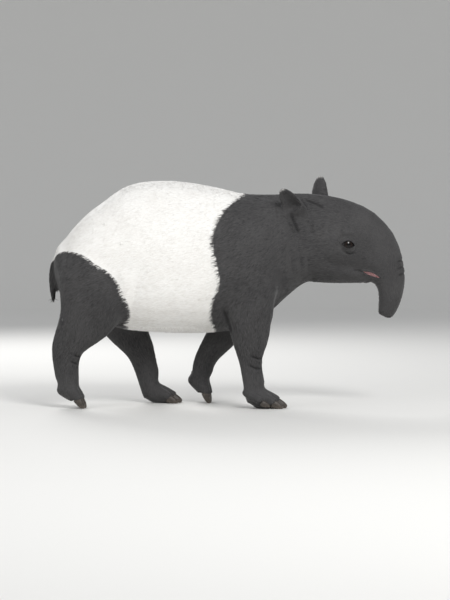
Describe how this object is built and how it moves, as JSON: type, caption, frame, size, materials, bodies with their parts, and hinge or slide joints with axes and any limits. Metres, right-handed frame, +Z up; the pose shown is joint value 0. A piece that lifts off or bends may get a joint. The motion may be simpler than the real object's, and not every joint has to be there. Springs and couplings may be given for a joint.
{
  "type": "malayan tapir",
  "caption": "Life-size Malayan tapir walking, with a short curved trunk, a pale saddle over a dark body and small hooves.",
  "frame": {"origin": "on the ground, under the middle of the animal's length, in its mid-plane", "axes": "+X forward towards the trunk, +Y to the animal's left, +Z up"},
  "size_m": [1.6044, 0.512, 1.0331],
  "materials": {
    "dark_coat": "short dense fur, dark grey",
    "pale_coat": "short dense fur, off-white",
    "hoof": "worn horn, satin",
    "eye": "wet and dark",
    "tongue": "moist, pink"
  },
  "bodies": {
    "root": {"trunk": "dark_coat", "lower_jaw": "dark_coat", "head": "dark_coat", "neck": "dark_coat", "tail": "dark_coat", "forefoot_right": "dark_coat", "hoof_fore_right_inner": "hoof", "hoof_fore_right_middle": "hoof", "hoof_fore_right_outer": "hoof", "hoof_fore_right_side": "hoof", "wrist_right": "dark_coat", "forearm_right": "dark_coat", "shoulder_right": "dark_coat", "forefoot_left": "dark_coat", "hoof_fore_left_inner": "hoof", "hoof_fore_left_middle": "hoof", "hoof_fore_left_outer": "hoof", "hoof_fore_left_side": "hoof", "wrist_left": "dark_coat", "forearm_left": "dark_coat", "shoulder_left": "dark_coat", "hindfoot_right": "dark_coat", "hoof_hind_right_inner": "hoof", "hoof_hind_right_middle": "hoof", "hoof_hind_right_outer": "hoof", "hock_right": "dark_coat", "shin_right": "dark_coat", "thigh_right": "dark_coat", "hindfoot_left": "dark_coat", "hoof_hind_left_inner": "hoof", "hoof_hind_left_middle": "hoof", "hoof_hind_left_outer": "hoof", "hock_left": "dark_coat", "shin_left": "dark_coat", "thigh_left": "dark_coat", "torso": "pale_coat", "eye_right": "eye", "ear_right": "dark_coat", "eye_left": "eye", "ear_left": "dark_coat", "tongue": "tongue"}
  },
  "joints": []
}
